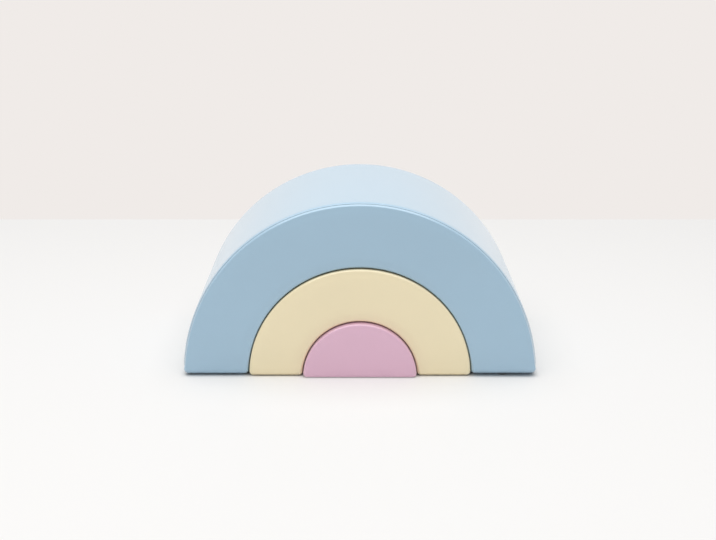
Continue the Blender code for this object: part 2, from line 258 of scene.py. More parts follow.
def mirrored(run):
    """The same run on the left-hand side, still running the same way round."""
    return run[::-1] * (-1.0, 1.0, -1.0, 1.0)


def along(points):
    """Distance of each point of a run from its start."""
    return np.concatenate(([0.0], np.cumsum(np.linalg.norm(np.diff(points[:, :2], axis=0), axis=1))))


def resampled(run, distances):
    """The run's points at these distances from its start."""
    made = np.column_stack([np.interp(distances, along(run), column) for column in run.T])
    made[:, 2:] /= np.linalg.norm(made[:, 2:], axis=1)[:, None]
    return made


def even_count(length, spacing):
    """A whole and even number of steps of about this spacing."""
    return 2 * max(2, round(length / spacing / 2))


def smooth_share(values):
    """0 to 1 with a soft start and end."""
    share = np.clip(values, 0.0, 1.0)
    return share * share * (3 - 2 * share)


class Block:
    """One nested block: its sizes, and its outline seen from the front as runs between the seams"""

    def __init__(self, name, scene):
        cover = scene.rainbow_cover
        self.name, self.slot = name, LEATHER_SLOTS[name]
        self.cover, self.zips = cover, scene.rainbow_zips
        self.nested = name != "large_arch"
        self.arch = f"{name}_inner_band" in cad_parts
        low, high = self.box("front_panel")
        self.front, self.rear = low.y, self.box("rear_panel")[1].y
        self.radius = high.z + cover.snug if self.nested else high.z
        self.hollow = self.box("inner_band")[1].z - cover.leather - cover.snug if self.arch else 0.0
        self.roll = cover.roll if self.nested else cover.large_roll
        self.edge = self.roll + cover.shoulder
        self.outer_corner = cover.corner if self.nested else cover.large_corner
        self.sides, self.halves = ("left", "right"), ("base_left_half", "base_right_half")
        if self.arch:
            self.sides, self.halves = ("inner", "outer"), ("right_foot_inner_half", "right_foot_outer_half")
        low, high = self.box("zip_slider")
        self.zip_x = (low.x + high.x) / 2
        self.opening = self.box(self.halves[1])[0].x
        self.wedge_ends = [low.y + (high.y - low.y) * share for share in WEDGE_ENDS]

    def box(self, node):
        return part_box(f"{self.name}_{node}")

    def steps(self, spacing, corner):
        """Steps of about this spacing, with this many at each corner."""
        flat = self.corner(True, 0.0).middle[0]
        flat = flat - self.corner(False, 0.0).middle[0] if self.arch else 2 * flat
        return Steps(corner, even_count(math.pi * self.radius, spacing), even_count(flat, spacing))

    def corner(self, outside, inset):
        """A foot corner at an inset: it keeps its middle as far as the rolled edge, then it grows."""
        rounding = self.outer_corner if outside else self.cover.corner
        rounding += CORNER_GROWTH * max(inset - self.roll, 0.0) - min(inset, self.roll)
        height = inset + rounding
        reach = self.radius - height if outside else self.hollow + height
        x = math.sqrt(reach**2 - height**2)
        lean = math.atan2(height, x)
        down, side = (-math.pi / 2, lean) if outside else (1.5 * math.pi, math.pi + lean)
        return Corner((x, height), rounding, lean, down, (down + side) / 2, side)

    def side_share(self, heights):
        """How far an edge at these heights has its own shape instead of a foot's."""
        return smooth_share((heights - self.cover.lip_start) / self.cover.lip_blend)

    def outer_run(self, inset, steps):
        """From the right-hand foot corner's seam over the top to the left-hand one's."""
        corner = self.corner(True, inset)
        rise = turned(corner.middle, corner.rounding, corner.seam, corner.side, steps.corner)
        over = turned((0, 0), self.radius - inset, corner.lean, math.pi - corner.lean, steps.curve)
        return joined(rise, over, mirrored(rise))

    def inner_run(self, inset, steps):
        """From the left-hand inner corner's seam under the arch to the right-hand one's."""
        corner = self.corner(False, inset)
        fall = turned(corner.middle, corner.rounding, corner.side, corner.seam, steps.corner)
        under = turned((0, 0), self.hollow + inset, math.pi - corner.lean, corner.lean, steps.curve, -1.0)
        return joined(mirrored(fall), under, fall)

    def toe(self, outside, inset, steps):
        """From a right-hand corner's seam down to the floor."""
        corner = self.corner(outside, inset)
        return turned(corner.middle, corner.rounding, corner.seam, corner.down, steps.corner)

    def foot_run(self, inset, steps):
        """Along the floor to the right-hand outer corner, from the inner or the base's left-hand one."""
        end = self.toe(True, inset, steps)[::-1]
        start = self.toe(False, inset, steps) if self.arch else mirrored(end)
        return joined(start, straight(start[-1, :2], end[0, :2], steps.flat, (0, -1)), end)

    def left_foot_run(self, inset, steps):
        return mirrored(self.foot_run(inset, steps))

    def runs(self, inset, steps):
        """The runs of the whole outline, one after another."""
        between = [self.left_foot_run, self.inner_run] if self.arch else []
        return [run(inset, steps) for run in (self.outer_run, *between, self.foot_run)]

    def edge_kinds(self):
        """The kind of edge along each of those runs."""
        outer = "tight" if self.nested else "lip"
        return [outer, "foot", "tight", "foot"] if self.arch else [outer, "foot"]

    def sides_to_fill(self, inset, steps):
        """Four runs round the outline's inside, and how far the first lies along the outline."""
        runs = [run[:, :2] for run in self.runs(inset, steps)]
        if self.arch:
            outer, left, inner, right = runs
            return (outer, left, inner[::-1], right[::-1]), 0
        outer, base = runs
        start = (len(outer) - len(base)) // 2
        end = start + len(base) - 1
        return (outer[start : end + 1], outer[end:], base[::-1], outer[: start + 1][::-1]), start


def all_blocks(context):
    return [Block(name, context.scene) for name in LEATHER_SLOTS]


# Surfaces


def quads(number):
    """Faces of a grid of point numbers, turning from its first axis to its second."""
    corners = (number[:-1, :-1], number[1:, :-1], number[1:, 1:], number[:-1, 1:])
    return np.stack(corners, axis=-1).reshape(-1, 4)


def filled(bottom, right, top, left):
    """A grid of points between four runs, of which opposite ones have the same number of points."""
    across = (along(bottom) / along(bottom)[-1] + along(top) / along(top)[-1]) / 2
    up = (along(left) / along(left)[-1] + along(right) / along(right)[-1]) / 2
    u, v = across[:, None, None], up[None, :, None]
    ruled = (1 - v) * bottom[:, None] + v * top[:, None] + (1 - u) * left[None] + u * right[None]
    corners = (1 - u) * (1 - v) * bottom[0] + u * (1 - v) * bottom[-1]
    corners = corners + (1 - u) * v * top[0] + u * v * top[-1]
    return ruled - corners


def stacked(block, layers, steps, fill_first=False, before=()):
    """Points, faces and layer numbers of outlines at each (inset, y), with the last filled, or both ends."""
    loops = [*before]
    for inset, y in layers:
        outline = np.vstack([run[:-1] for run in block.runs(inset, steps)])
        loops.append(np.column_stack((outline[:, 0], np.full(len(outline), y), outline[:, 1])))
    count = len(loops[0])
    number = np.arange(len(loops) * count).reshape(len(loops), count)
    faces = [quads(np.column_stack((number, number[:, :1])).T)]
    points, layer = [*loops], [np.repeat(np.arange(len(loops)), count)]
    ends = [(len(loops) - 1, 1)] + ([(0, -1)] if fill_first else [])
    for index, turn in ends:
        inset, y = layers[index - len(before)]
        sides, start = block.sides_to_fill(inset, steps)
        inside = filled(*sides)
        columns, rows = inside.shape[:2]
        grid = np.empty((columns, rows), int)
        parts = np.cumsum((columns - 1, rows - 1, columns - 1))
        ring = np.split(np.roll(number[index], -start), parts)
        grid[:-1, 0], grid[-1, :-1], grid[:0:-1, -1], grid[0, :0:-1] = ring
        inner = inside[1:-1, 1:-1].reshape(-1, 2)
        grid[1:-1, 1:-1] = np.arange(len(inner)).reshape(columns - 2, rows - 2) + sum(map(len, points))
        points.append(np.column_stack((inner[:, 0], np.full(len(inner), y), inner[:, 1])))
        layer.append(np.full(len(inner), index))
        faces.append(quads(grid)[:, ::turn])
    return np.vstack(points), np.vstack(faces), np.concatenate(layer)


def spread(length, spacing, shoulder, sewn_end=True):
    """Distances along a panel: close together where it is sewn, and even between."""
    near = list(shoulder * (1 - np.cos(SHOULDER_TURNS)))
    step = shoulder / 2
    while step < spacing:
        near.append(near[-1] + step)
        step *= SPACING_GROWTH
    near = np.array(near)
    far = length - near[::-1] if sewn_end else np.array([length])
    between = far[0] - near[-1]
    return np.concatenate((near, np.linspace(near[-1], far[0], math.ceil(between / spacing) + 1)[1:-1], far))


def sunk_at(distance_a, distance_b, shoulder):
    """How deep a panel lies near two of its sewn edges, for their distances."""
    short = np.hypot(np.maximum(shoulder - distance_a, 0), np.maximum(shoulder - distance_b, 0))
    return shoulder - np.sqrt(shoulder**2 - np.minimum(short, shoulder) ** 2)


class Edge:
    """A front or rear edge seen from the side, with distances measured over it from the flat face"""

    def __init__(self, block, kind):
        cover = block.cover
        lip = kind == "lip"
        self.block = block
        self.turn = cover.lip_turn if lip else math.pi / 2
        self.radius = {"lip": cover.lip_radius, "tight": cover.tight_roll, "foot": block.roll}[kind]
        self.flat = block.roll - self.radius if kind == "tight" else 0.0
        self.bend = self.flat + self.radius * self.turn
        self.slant = 0.0
        self.seam = self.bend + cover.shoulder
        self.far_radius = block.roll
        if lip:
            across = block.roll - self.radius * math.sin(self.turn) - cover.lip_drop
            self.slant = across / math.cos(self.turn)
            self.seam = self.bend + self.slant
            self.far_radius = cover.lip_drop / (1 - math.sin(self.turn))

    def at(self, distance):
        """Inset, depth, and how far the normal leans out and ahead."""
        flat = np.clip(distance, 0.0, self.flat)
        angle = np.clip((distance - flat) / self.radius, 0.0, self.turn)
        slant = np.clip(distance - self.bend, 0.0, self.slant)
        rest = np.maximum(distance - self.bend - self.slant, 0.0)
        end = np.minimum(self.turn + rest / self.far_radius, math.pi / 2)
        beyond = rest - self.far_radius * (end - self.turn)
        inset = self.block.roll - flat - self.radius * np.sin(angle) - slant * math.cos(self.turn)
        inset = inset - self.far_radius * (np.sin(end) - math.sin(self.turn))
        depth = self.radius * (1 - np.cos(angle)) + slant * math.sin(self.turn)
        depth = depth + self.far_radius * (math.cos(self.turn) - np.cos(end)) + beyond
        lean = np.where(rest > 0, end, angle)
        return np.array((inset, depth, np.sin(lean), np.cos(lean)))

    def girth(self, gap):
        """Length of a strip from the front edge's seam to the rear edge's."""
        straight_part = self.block.rear - self.block.front - 2 * self.at(FAR_FROM_SEAM)[1]
        return straight_part + 2 * (FAR_FROM_SEAM - self.seam - gap)


def blended(share, plain, own):
    return plain + (own - plain) * share


class Surface(NamedTuple):
    """A panel before its leather has thickness, with each point's normal and its distance from a seam"""

    points: np.ndarray
    faces: np.ndarray
    normals: np.ndarray
    seam: np.ndarray

    def area(self):
        a, b, c, d = (self.points[self.faces[:, corner]] for corner in range(4))
        return float(np.linalg.norm(np.cross(c - a, d - b), axis=1).sum() / 2)


def end_panel_surface(block, rear):
    """A front or rear panel: up out of its seam, over the rolled edge and flat to the middle."""
    cover = block.cover
    steps = block.steps(cover.spacing, CORNER_STEPS)
    runs = block.runs(0.0, steps)
    outline = np.vstack([run[:-1] for run in runs])
    turn = cover.shoulder * (1 - np.cos(SHOULDER_TURNS))

    def rolled(kind):
        """Distance from the seam, inset, depth and normal at the steps over an edge."""
        edge = Edge(block, kind)
        reach = edge.seam - cover.seam_gap
        from_seam = np.concatenate((turn, turn[-1] + ROLL_SHARES * (reach - turn[-1])))
        return np.vstack((from_seam, edge.at(reach - from_seam)))

    own = np.repeat([rolled(kind) for kind in block.edge_kinds()], [len(run) - 1 for run in runs], axis=0)
    share = block.side_share(outline[:, 1])[:, None, None]
    from_seam, inset, depth, out, ahead = blended(share, rolled("foot"), own).transpose(1, 2, 0)
    sunk = sunk_at(from_seam, FAR_FROM_SEAM, cover.shoulder)
    aside = inset + sunk * out
    x, z = (outline[:, axis] - aside * outline[:, axis + 2] for axis in (0, 1))
    loops = np.stack((x, depth + sunk * ahead, z), axis=-1)
    distances = [*from_seam]
    layers, inset, step = [], block.roll, block.roll / 2
    while inset < block.roll + FADE_REACH * cover.crown_fade:
        inset += step
        step = min(SPACING_GROWTH * step, cover.spacing)
        layers.append((inset, 0.0))
        distances.append(from_seam[-1] + inset - block.roll)
    points, faces, _ = stacked(block, layers, steps, before=loops)
    seam = np.full(len(points), FAR_FROM_SEAM)
    seam[: len(distances) * len(outline)] = np.concatenate(distances)
    points[:, 1] += block.front
    normals = np.tile((0.0, -1.0, 0.0), (len(points), 1))
    if rear:
        points[:, 1] = block.front + block.rear - points[:, 1]
        return Surface(points, faces[:, ::-1], -normals, seam)
    return Surface(points, faces, normals, seam)


def strip_surface(block, run, distance, sink, kind):
    """A run drawn out from the front panel's seam to the rear panel's, with its sewn edges turned down."""
    cover = block.cover
    edges = Edge(block, "foot"), Edge(block, kind)
    own_share = block.side_share(run[:, 1:2])
    lengths = [edge.girth(cover.seam_gap) for edge in edges]
    share = spread(max(lengths), STRIP_STRETCH * cover.spacing, cover.shoulder) / max(lengths)
    near = [np.minimum(share, 1 - share) * length for length in lengths]
    places = [edge.at(edge.seam + cover.seam_gap + part)[:, None] for edge, part in zip(edges, near)]
    inset, depth, out, ahead = blended(own_share, *places)
    from_seam = blended(own_share, *near)
    sunk = sunk_at(distance[:, None], from_seam, cover.shoulder)
    aside = inset + sunk * out
    depth = depth + sunk * ahead
    points = np.empty((*depth.shape, 3))
    points[:, :, 0] = run[:, :1] + sink[:, :1] * aside
    points[:, :, 1] = np.where(share < 0.5, block.front + depth, block.rear - depth)
    points[:, :, 2] = run[:, 1:2] + sink[:, 1:] * aside
    normals = np.zeros_like(points)
    normals[:, :, 0], normals[:, :, 2] = run[:, 2:3], run[:, 3:]
    number = np.arange(depth.size).reshape(depth.shape)
    from_seam = np.minimum(distance[:, None], from_seam)
    return Surface(points.reshape(-1, 3), quads(number.T), normals.reshape(-1, 3), from_seam.ravel())


def hemmed_surface(block, half):
    """A foot or base panel from a corner's seam to the zip, where it folds up and back as a hem."""
    cover = block.cover
    outside = half == 1 or not block.arch
    hem_x = block.opening if outside else 2 * block.zip_x - block.opening
    facing = 1.0 if outside else -1.0
    fold = cover.leather
    fold_x = hem_x + facing * fold
    toe = block.toe(outside, 0.0, FINE)
    sewn = joined(toe, straight(toe[-1, :2], (fold_x, 0.0), FINE.flat, (0, -1)))
    distance = spread(along(sewn)[-1] - cover.seam_gap, cover.spacing, cover.shoulder, sewn_end=False)
    sewn = resampled(sewn, distance + cover.seam_gap)
    bend = turned((fold_x, fold), fold, -math.pi / 2, -math.pi / 2 - facing * math.pi, 2 * CORNER_STEPS)
    back = straight(bend[-1, :2], (hem_x + facing * block.zips.hem, 2 * fold), CORNER_STEPS, (0, 1))
    run = joined(sewn, bend, back)
    sink = -run[:, 2:]
    sink[sewn[:, 3].argmin() :] = (0, 1)
    if not outside:
        return strip_surface(block, run, along(run), sink, "foot")
    run, sink = run[::-1], sink[::-1]
    from_seam = along(run)[-1] - along(run)
    if half == 0:
        run, sink, from_seam = mirrored(run), sink[::-1] * (-1, 1), from_seam[::-1]
    return strip_surface(block, run, from_seam, sink, "foot")


# Padding: a cloth simulation on a coarse cage of each cover


def cage_layers(block, inset):
    """(inset, y) of a closed cage from the rear face's middle to the front one's, and its seam's layer."""
    roll, spacing = block.roll, block.cover.cage_spacing
    edge = [(roll + 2 * spacing, 0.0), (roll + spacing, 0.0), (roll, 0.0)]
    edge += [(CAGE_ROLL * roll, CAGE_ROLL * roll), (0.0, roll), (0.0, block.edge)]
    edge = [(max(at, inset), back + inset) for at, back in edge if at >= inset or at == 0.0]
    rows = math.ceil((block.rear - block.front - 2 * edge[-1][1]) / spacing)
    rear = [(at, block.rear - back) for at, back in edge]
    front = [(at, block.front + back) for at, back in reversed(edge)]
    between = np.linspace(rear[-1][1], front[0][1], rows + 1)[1:-1]
    return rear + [(inset, y) for y in between] + front, len(edge) - 1


def plain_mesh(name, points, faces):
    mesh = bpy.data.meshes.new(name)
    mesh.from_pydata(points.tolist(), [], faces.tolist())
    mesh.update()
    return mesh


def linked_object(name, data):
    made = bpy.data.objects.new(name, data)
    bpy.context.scene.collection.objects.link(made)
    return made


def read_points(mesh):
    points = np.empty(3 * len(mesh.vertices), np.float32)
    mesh.vertices.foreach_get("co", points)
    return points.reshape(-1, 3).astype(float)


def keep_values(mesh, name, values):
    """Stores a value for each point of a mesh."""
    mesh.attributes.new(name, "FLOAT", "POINT").data.foreach_set("value", values.astype(np.float32))


def evaluated_mesh(piece):
    graph = bpy.context.evaluated_depsgraph_get()
    return bpy.data.meshes.new_from_object(piece.evaluated_get(graph), depsgraph=graph)


def simulated_points(mesh, held, cover):
    """The cage's points after the foam has pressed its cover out between the seams that hold it."""
    scene = bpy.context.scene
    cage = linked_object("padding_cage", mesh)
    group = cage.vertex_groups.new(name="held")
    group.add(held.tolist(), 1.0, "REPLACE")
    cloth = cage.modifiers.new("padding", "CLOTH")
    for key, value in CLOTH.items():
        setattr(cloth.settings, key, value)
    cloth.settings.vertex_group_mass = group.name
    cloth.settings.uniform_pressure_force = cover.pressure
    cloth.settings.effector_weights.gravity = 0.0
    cloth.collision_settings.use_collision = False
    cloth.point_cache.frame_start, cloth.point_cache.frame_end = 1, cover.frames
    for step in range(1, cover.frames + 1):
        scene.frame_set(step)
    made = evaluated_mesh(cage)
    points = read_points(made)
    bpy.data.meshes.remove(made)
    bpy.data.objects.remove(cage)
    scene.frame_set(1)
    return points


def padding_mesh(block):
    """A mesh that keeps the cage, with how far the simulation moved each point out as an attribute."""
    cover = block.cover
    steps = block.steps(cover.cage_spacing, CAGE_CORNER_STEPS)
    layers, seam_layer = cage_layers(block, 0.0)
    points, faces, layer = stacked(block, layers, steps, fill_first=True)
    mesh = plain_mesh(f"{block.name}_padding", points, faces)
    swell = np.zeros(len(points))
    ends = np.cumsum([0] + [len(run) - 1 for run in block.runs(0.0, steps)])
    count = ends[-1]
    looped = len(layers) * count
    held = np.isin(layer, (seam_layer, len(layers) - 1 - seam_layer)) | (points[:, 2] < cover.fit)
    held[:looped] |= np.isin(np.arange(looped) % count, ends)
    normals = np.empty(3 * len(points), np.float32)
    mesh.vertices.foreach_get("normal", normals)
    moved = simulated_points(mesh, np.flatnonzero(held), cover) - points
    swell = (moved * normals.reshape(-1, 3)).sum(axis=1)
    keep_values(mesh, "swell", swell)


def swell_at(block, points):
    """The padding's lift at each point of a cover, blended smoothly from the cage."""
    mesh = bpy.data.meshes[f"{block.name}_padding"]
    swell = np.empty(len(mesh.vertices), np.float32)
    mesh.attributes["swell"].data.foreach_get("value", swell)
    lifts = np.zeros(len(points))
    if not swell.any():
        return lifts
    tree = KDTree(len(swell))
    for index, vertex in enumerate(mesh.vertices):
        tree.insert(vertex.co, index)
    tree.balance()
    for row, point in enumerate(points):
        near = tree.find_n(point, NEIGHBOURS)
        weights = np.exp([-((gap / block.cover.cage_spacing) ** 2) for _, _, gap in near])
        lifts[row] = weights @ swell[[index for _, index, _ in near]] / weights.sum()
    return lifts


def settled(block, points):
    """Points of a block with its front lower edge off the floor and its soft feet spread at the floor."""
    cover = block.cover
    x, y, z = points.T.copy()
    lifts = zip(LEATHER_SLOTS, (cover.large_lift, cover.middle_lift, cover.small_lift))
    rise, forward = dict(lifts)[block.name], 0.0
    back = 1 - np.clip((y - block.front) / cover.lift_depth, 0, 1)
    up = 1 - smooth_share(z / cover.lift_height)
    low = 1 - smooth_share(z / cover.spread_height)
    if block.nested:
        z -= cover.sag * (z / block.radius) ** 2
    else:
        right = smooth_share(x / block.radius)
        rise = rise + cover.right_lift * right
        forward = cover.large_spread + cover.right_spread * right
        outer = smooth_share((np.abs(x) - block.radius + cover.side_reach) / cover.side_reach)
        x += np.sign(x) * cover.side_spread * outer * low * block.side_share(z)
    return np.column_stack((x, y - forward * back * low, z + rise * back * up))


def settle(mesh, block):
    mesh.vertices.foreach_set("co", settled(block, read_points(mesh)).astype(np.float32).ravel())
    mesh.update()


def shaped(block, surface, crown):
    """A surface's points with the padding's crown, on the settled block."""
    lift = np.zeros(len(surface.points))
    if crown:
        lift = crown * np.tanh(swell_at(block, surface.points) / crown)
    lift *= smooth_share((surface.seam - block.roll) / block.cover.crown_fade)
    return settled(block, surface.points + surface.normals * lift[:, None])


# Pieces


def finish_of(slot):
    """The material made for a slot; the packed model has plain ones under the slots' own names."""
    return bpy.data.materials[f"{slot}_finish"]


def finished_piece(name, mesh, body, slot, *nodes):
    """A piece on a body that stands for these nodes, with its slot's finish unless it has its own."""
    if not mesh.materials:
        mesh.materials.append(finish_of(slot))
    piece = linked_object(name, mesh)
    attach(piece, body)
    if nodes:
        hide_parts(*nodes)
    return piece


def sheet_piece(block, name, mesh, slot, node, wall):
    """A smooth sheet on its block's body in place of its node, with a wall of (thickness, offset)."""
    mesh.shade_smooth()
    piece = finished_piece(name, mesh, block.name, slot, node)
    shell = piece.modifiers.new("wall", "SOLIDIFY")
    shell.thickness, shell.offset = wall


def leather_piece(block, node, surface, crown, cut, area=None):
    """One panel of a cover, as a sheet of leather-cloth with its real thickness."""
    name = f"{block.name}_{node}_leather"
    mesh = plain_mesh(name, shaped(block, surface, crown), surface.faces)
    keep_values(mesh, "seam", surface.seam)
    wall = (block.cover.leather - block.cover.fit, -1.0)
    sheet_piece(block, name, mesh, block.slot, f"{block.name}_{node}", wall)


def band_piece(block, node, run, kind, crown):
    """A band or a plain foot panel along a run, sewn on all four sides."""
    cover = block.cover
    length = float(along(run)[-1])
    distance = spread(length - 2 * cover.seam_gap, cover.spacing, cover.shoulder)
    sewn = resampled(run, distance + cover.seam_gap)
    from_end = np.minimum(distance, distance[-1] - distance)
    surface = strip_surface(block, sewn, from_end, -sewn[:, 2:], kind)
    leather_piece(block, node, surface, crown, (length, float(Edge(block, kind).girth(cover.seam_gap))))


def foam_mesh(block):
    """The cut foam core, with a recess along the zip."""
    cover = block.cover
    inset = cover.leather + cover.shoulder
    steps = block.steps(cover.cage_spacing, CORNER_STEPS)
    points, faces, _ = stacked(block, cage_layers(block, inset)[0], steps, fill_first=True)
    core = linked_object("foam_core", plain_mesh("foam_core", points, faces))
    left, right = (block.box(f"zip_tape_{side}") for side in block.sides)
    top = block.box("zip_slider")[1].z + cover.fit
    recess = (
        (left[0].x - cover.fit, right[1].x + cover.fit),
        (block.front - inset, block.rear + inset),
        (-top, top),
    )
    shape = bmesh.new()
    bmesh.ops.create_cube(shape, size=1.0)
    for vertex in shape.verts:
        vertex.co = [ends[place > 0] for ends, place in zip(recess, vertex.co)]
    cutter = linked_object("zip_recess", bpy.data.meshes.new("zip_recess"))
    shape.to_mesh(cutter.data)
    shape.free()
    cut = core.modifiers.new("zip_recess", "BOOLEAN")
    cut.operation = "DIFFERENCE"
    cut.object = cutter
    bpy.context.view_layer.update()
    mesh = evaluated_mesh(core)
    for helper in (core, cutter):
        bpy.data.objects.remove(helper)
    mesh.shade_smooth()
    mesh.set_sharp_from_angle(angle=FOAM_CREASE)
    mesh.materials.clear()
    return mesh


def tape_mesh(block, side, name):
    """A woven tape, moved aside in front of the slider, with a proud cord along each edge."""
    zips = block.zips
    low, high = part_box(name)
    front, back = block.wedge_ends
    facing = 1.0 if side == block.sides[1] else -1.0
    near, far = (low.x, high.x) if facing > 0 else (high.x, low.x)
    far = far - facing * zips.parting
    y = np.linspace(low.y, high.y, TAPE_ROWS)
    aside = zips.parting * (1 - np.clip((y - front) / (back - front), 0.0, 1.0))
    x = near + (far - near) * TAPE_SHARES[:, None] + facing * aside
    z = (low.z + high.z) / 2 - zips.tape * CORD_RISE * TAPE_CORDS[:, None]
    points = np.stack(np.broadcast_arrays(x, y, z), axis=-1)
    number = np.arange(x.size).reshape(x.shape)
    return plain_mesh(name, points.reshape(-1, 3), quads(number if facing < 0 else number[::-1]))


# Node trees


def feed(tree, node, inputs):
    """Links or sets a node's inputs."""
    for key, value in inputs.items():
        if isinstance(value, bpy.types.NodeSocket):
            tree.links.new(value, node.inputs[key])
        else:
            node.inputs[key].default_value = value


def new_node(tree, kind, inputs, **settings):
    node = tree.nodes.new(kind)
    for key, value in settings.items():
        setattr(node, key, value)
    feed(tree, node, inputs)
    return node


def socket(tree, kind, inputs, output=0, **settings):
    """One output of a new node."""
    return new_node(tree, kind, inputs, **settings).outputs[output]


def new_tree(name, kind, inputs, outputs):
    """A node group with sockets of these kinds, its input node's outputs by name, and its output node."""
    tree = bpy.data.node_groups.new(name, kind)
    for way, sockets in (("INPUT", inputs), ("OUTPUT", outputs)):
        for sort, labels in sockets.items():
            for label in labels:
                tree.interface.new_socket(label, in_out=way, socket_type=f"NodeSocket{sort}")
    return tree, tree.nodes.new("NodeGroupInput").outputs, tree.nodes.new("NodeGroupOutput")


def math_node(tree, operation, *values):
    return socket(tree, "ShaderNodeMath", dict(enumerate(values)), operation=operation)


def vector(tree, **parts):
    return socket(tree, "ShaderNodeCombineXYZ", parts)


def noise(tree, place, scale, detail):
    return socket(tree, "ShaderNodeTexNoise", {"Vector": place, "Scale": scale, "Detail": detail}, "Fac")


def ranged(tree, value, low=0.0, high=1.0, top=1.0, kind="LINEAR"):
    """A value from 0 to top, brought between low and high."""
    inputs = {"Value": value, "From Max": top, "To Min": low, "To Max": high}
    return socket(tree, "ShaderNodeMapRange", inputs, interpolation_type=kind)


def toned(tree, colour, value):
    """A colour darkened or lightened by a value that changes over the surface."""
    inputs = {0: 1.0, 6: colour, 7: value}
    return socket(tree, "ShaderNodeMix", inputs, 2, data_type="RGBA", blend_type="MULTIPLY")


def bump(tree, height, strength, distance):
    return socket(tree, "ShaderNodeBump", {"Height": height, "Strength": strength, "Distance": distance})


def mixed_shader(tree, share, first, second):
    return socket(tree, "ShaderNodeMixShader", {0: share, 1: first, 2: second})


def repeated_piece(block, name, tree, values, slot, *nodes):
    """A piece of the settled block: the plain mesh that a Geometry Nodes tree makes with these values."""
    carrier = linked_object(name, bpy.data.meshes.new(name))
    modifier = carrier.modifiers.new(name, "NODES")
    modifier.node_group = tree
    for item in tree.interface.items_tree:
        if item.in_out == "INPUT" and item.name in values:
            modifier[item.identifier] = values[item.name]
    bpy.context.view_layer.update()
    mesh = evaluated_mesh(carrier)
    bpy.data.objects.remove(carrier)
    settle(mesh, block)
    finished_piece(name, mesh, block.name, slot, *nodes)


def point_line(tree, given, start):
    """A row of points along Y."""
    offset = vector(tree, Y=given["Pitch"])
    inputs = {"Count": given["Count"], "Start Location": given[start], "Offset": offset}
    return socket(tree, "GeometryNodeMeshLine", inputs)


def bent_wire(tree, path, sides, radius):
    """A round wire along a curve."""
    profile = socket(tree, "GeometryNodeCurvePrimitiveCircle", {"Resolution": sides, "Radius": radius})
    inputs = {"Curve": path, "Profile Curve": profile, "Fill Caps": True}
    return socket(tree, "GeometryNodeCurveToMesh", inputs)


def finish_repeats(tree, shape, points, material, output):
    """Puts the shape on every point and makes the copies real, smooth and finished."""
    copies = socket(tree, "GeometryNodeInstanceOnPoints", {"Points": points, "Instance": shape})
    real = socket(tree, "GeometryNodeRealizeInstances", {0: copies})
    smooth = socket(tree, "GeometryNodeSetShadeSmooth", {0: real})
    finished = socket(tree, "GeometryNodeSetMaterial", {"Geometry": smooth, "Material": material})
    feed(tree, output, {0: finished})


def coil_tree():
    """Turns of a zip coil along Y, moved aside in front of the slider's wedge."""
    sizes = ("Pitch", "Reach", "Height", "Lean", "Wire", "Parting", "Parted From", "Parted To")
    tree, given, output = new_tree(
        "zip_coil_turns",
        "GeometryNodeTree",
        {"Vector": ["Start"], "Int": ["Count"], "Float": sizes, "Material": ["Material"]},
        {"Geometry": ["Geometry"]},
    )
    place = socket(tree, "GeometryNodeInputPosition", {})
    parting = {
        "Value": socket(tree, "ShaderNodeSeparateXYZ", {0: place}, "Y"),
        "From Min": given["Parted From"],
        "From Max": given["Parted To"],
        "To Min": given["Parting"],
        "To Max": 0.0,
    }
    offset = vector(tree, X=socket(tree, "ShaderNodeMapRange", parting))
    line = point_line(tree, given, "Start")
    points = socket(tree, "GeometryNodeSetPosition", {"Geometry": line, "Offset": offset})
    ring = socket(tree, "GeometryNodeCurvePrimitiveCircle", {"Resolution": 10, "Radius": 1.0})
    size = vector(tree, X=given["Reach"], Y=given["Height"], Z=1.0)
    lean = vector(tree, X=given["Lean"])
    loop = socket(tree, "GeometryNodeTransform", {"Geometry": ring, "Scale": size, "Rotation": lean})
    finish_repeats(tree, bent_wire(tree, loop, COIL_SIDES, given["Wire"]), points, given["Material"], output)
    return tree


def stitch_tree():
    """Two rows of topstitches along Y, each stitch bowed down and sunk at its ends."""
    tree, given, output = new_tree(
        "hem_topstitches",
        "GeometryNodeTree",
        {
            "Vector": ["First Row", "Second Row"],
            "Int": ["Count"],
            "Float": ["Pitch", "Length", "Thread"],
            "Material": ["Material"],
        },
        {"Geometry": ["Geometry"]},
    )
    rows = tree.nodes.new("GeometryNodeJoinGeometry")
    for label in ("First Row", "Second Row"):
        feed(tree, rows, {0: point_line(tree, given, label)})
    half = math_node(tree, "MULTIPLY", given["Length"], 0.5)
    bow = {
        "Resolution": 5,
        "Start": vector(tree, Y=math_node(tree, "MULTIPLY", half, -1.0), Z=given["Thread"]),
        "Middle": vector(tree, Z=math_node(tree, "MULTIPLY", given["Thread"], -2.0)),
        "End": vector(tree, Y=half, Z=given["Thread"]),
    }
    path = socket(tree, "GeometryNodeCurveQuadraticBezier", bow)
    stitch = bent_wire(tree, path, THREAD_SIDES, given["Thread"])
    finish_repeats(tree, stitch, rows.outputs[0], given["Material"], output)
    return tree


# Materials


